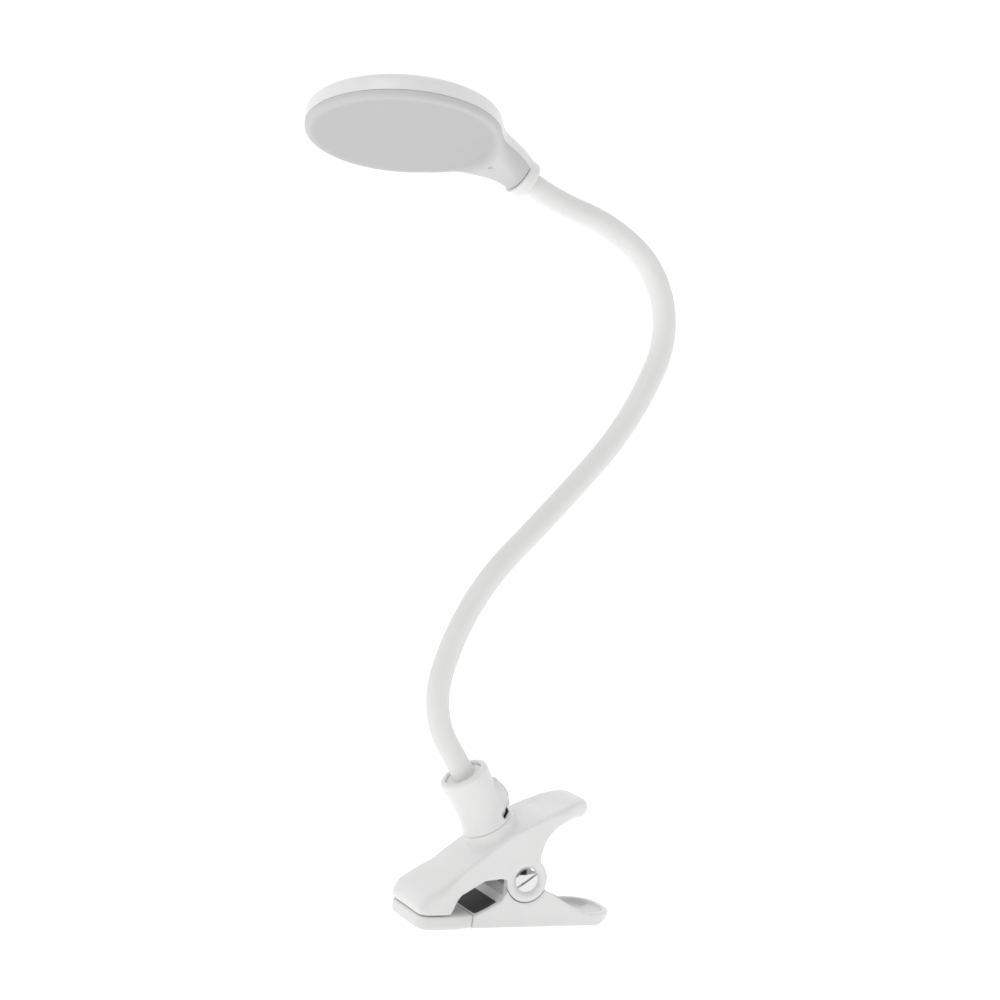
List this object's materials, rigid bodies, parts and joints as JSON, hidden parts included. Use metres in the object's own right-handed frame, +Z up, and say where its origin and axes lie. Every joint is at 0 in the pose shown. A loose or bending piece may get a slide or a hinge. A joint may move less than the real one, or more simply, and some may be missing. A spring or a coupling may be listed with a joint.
{
  "type": "clip-on reading lamp",
  "caption": "Cordless clip-on reading lamp: a sprung clip carries a push-button collar, a bendable sleeved neck and a flat round head that lights from beneath.",
  "frame": {"origin": "on the resting face under the lower jaw, straight below the clip's pivot", "axes": "+Z up, +X from the nose towards the thumb paddle and tail, +Y across the clip"},
  "size_m": [0.1763, 0.0783, 0.3501],
  "materials": {
    "clip_plastic": "satin white moulding",
    "soft_pad": "soft white, matt",
    "grip_lining": "dark grey, matt",
    "silicone": "satin white sleeve",
    "steel": "plain",
    "chrome": "polished",
    "diffuser": "milky, light-spreading",
    "button": "satin white",
    "circuit": "green board",
    "board_metal": "white solder mask on aluminium",
    "light_chip": "yellow phosphor",
    "cell": "foil pouch",
    "wire": "insulated lead"
  },
  "bodies": {
    "base": {"lower_jaw": "clip_plastic", "lower_jaw_pad": "soft_pad", "lower_grip_pad": "grip_lining", "pivot_screw": "chrome", "pivot_nut": "chrome", "torsion_spring": "steel"},
    "upper_jaw_body": {"upper_jaw": "clip_plastic", "jaw_cover": "clip_plastic", "upper_jaw_pad": "soft_pad", "upper_grip_pad": "grip_lining", "cover_screws": "steel", "battery_cell": "cell", "control_board": "circuit", "charging_socket": "steel", "tact_switch": "circuit", "neck_socket": "clip_plastic", "neck_bush": "soft_pad", "neck_base_ferrule": "steel", "neck_lock_nut": "steel", "socket_screws": "steel", "neck_sleeve_1": "silicone", "neck_core_1": "steel", "neck_lead_1": "wire"},
    "button_body": {"switch_button": "button"},
    "head_body": {"neck_sleeve_8": "silicone", "neck_core_8": "steel", "neck_lead_8": "wire", "head_ferrule": "steel", "head_cover": "clip_plastic", "head_diffuser": "diffuser", "led_board": "board_metal", "led_chips": "light_chip", "board_screws": "steel", "tail_screw": "steel"},
    "neck_body_2": {"neck_sleeve_2": "silicone", "neck_core_2": "steel", "neck_lead_2": "wire"},
    "neck_body_3": {"neck_sleeve_3": "silicone", "neck_core_3": "steel", "neck_lead_3": "wire"},
    "neck_body_4": {"neck_sleeve_4": "silicone", "neck_core_4": "steel", "neck_lead_4": "wire"},
    "neck_body_5": {"neck_sleeve_5": "silicone", "neck_core_5": "steel", "neck_lead_5": "wire"},
    "neck_body_6": {"neck_sleeve_6": "silicone", "neck_core_6": "steel", "neck_lead_6": "wire"},
    "neck_body_7": {"neck_sleeve_7": "silicone", "neck_core_7": "steel", "neck_lead_7": "wire"}
  },
  "joints": [
    {"name": "clamp_open", "type": "hinge", "parent": "base", "child": "upper_jaw_body", "pos_m": [0, 0, 0.0205], "axis": [0, 1, 0], "range_deg": [0, 30], "stiffness_Nm_per_rad": 0.3, "springref_deg": -28.65, "deforming": ["torsion_spring"]},
    {"name": "switch_press", "type": "slide", "parent": "upper_jaw_body", "child": "button_body", "axis": [-0.8387, 0, -0.5446], "range_m": [0, 0.0008], "stiffness_N_per_m": 900, "springref_m": -0.001},
    {"name": "neck_bend_1", "type": "hinge", "parent": "upper_jaw_body", "child": "neck_body_2", "pos_m": [-0.03677, 0, 0.07529], "axis": [0, 1, 0], "range_deg": [-22, 22]},
    {"name": "neck_bend_2", "type": "hinge", "parent": "neck_body_2", "child": "neck_body_3", "pos_m": [-0.04353, 0, 0.10719], "axis": [0.9774, 0, -0.2113], "range_deg": [-25, 25]},
    {"name": "neck_bend_3", "type": "hinge", "parent": "neck_body_3", "child": "neck_body_4", "pos_m": [-0.01637, 0, 0.15992], "axis": [0, 1, 0], "range_deg": [-22, 22]},
    {"name": "neck_bend_4", "type": "hinge", "parent": "neck_body_4", "child": "neck_body_5", "pos_m": [0.01836, 0, 0.20008], "axis": [0.7727, 0, -0.6347], "range_deg": [-25, 25]},
    {"name": "neck_bend_5", "type": "hinge", "parent": "neck_body_5", "child": "neck_body_6", "pos_m": [0.04277, 0, 0.24332], "axis": [0, 1, 0], "range_deg": [-22, 22]},
    {"name": "neck_bend_6", "type": "hinge", "parent": "neck_body_6", "child": "neck_body_7", "pos_m": [0.02661, 0, 0.29366], "axis": [0.5721, 0, 0.8202], "range_deg": [-25, 25]},
    {"name": "neck_bend_7", "type": "hinge", "parent": "neck_body_7", "child": "head_body", "pos_m": [-0.00009, 0, 0.30583], "axis": [0, 1, 0], "range_deg": [-22, 22]}
  ]
}
